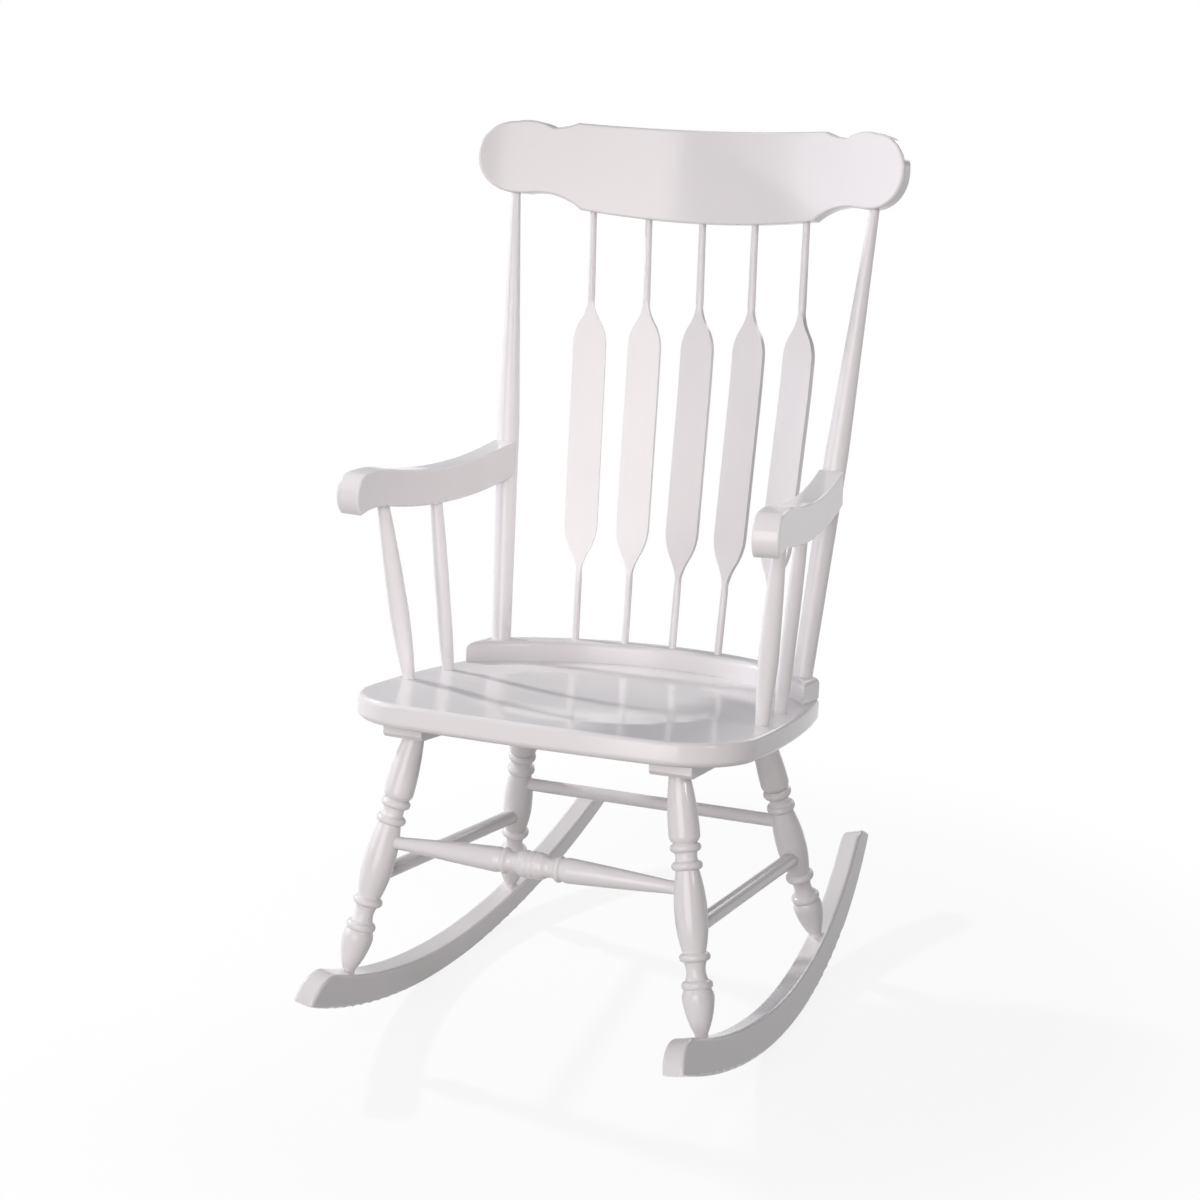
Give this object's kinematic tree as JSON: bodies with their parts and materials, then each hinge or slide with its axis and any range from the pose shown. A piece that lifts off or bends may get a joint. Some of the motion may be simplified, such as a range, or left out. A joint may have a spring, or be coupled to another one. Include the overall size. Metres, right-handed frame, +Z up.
{
  "type": "rocking chair",
  "caption": "Painted wooden rocking chair with a lobed crest rail, bent arrow spindles, turned legs, shaped arms and a saddled plank seat on canted rockers.",
  "frame": {"origin": "on the floor, on the mid-plane, midway between the front and rear ends of the rockers", "axes": "+Z up, -Y the way the sitter faces, +X to the sitter's left"},
  "size_m": [0.612, 0.8528, 1.1466],
  "materials": {
    "enamel": "white gloss enamel over hardwood",
    "screw_steel": "zinc plated"
  },
  "bodies": {
    "root": {"seat": "enamel", "seat_riser": "enamel", "left_cleat": "enamel", "right_cleat": "enamel", "front_left_leg": "enamel", "front_right_leg": "enamel", "rear_left_leg": "enamel", "rear_right_leg": "enamel", "front_stretcher": "enamel", "rear_stretcher": "enamel", "left_side_stretcher": "enamel", "right_side_stretcher": "enamel", "left_rocker": "enamel", "right_rocker": "enamel", "left_back_post": "enamel", "right_back_post": "enamel", "back_spindle_1": "enamel", "back_spindle_2": "enamel", "back_spindle_3": "enamel", "back_spindle_4": "enamel", "back_spindle_5": "enamel", "crest_rail": "enamel", "left_arm": "enamel", "right_arm": "enamel", "front_left_arm_spindle": "enamel", "front_right_arm_spindle": "enamel", "rear_left_arm_spindle": "enamel", "rear_right_arm_spindle": "enamel", "cleat_screws": "screw_steel", "riser_screws": "screw_steel", "rocker_screws": "screw_steel", "arm_screws": "screw_steel", "crest_pins": "screw_steel"}
  },
  "joints": []
}
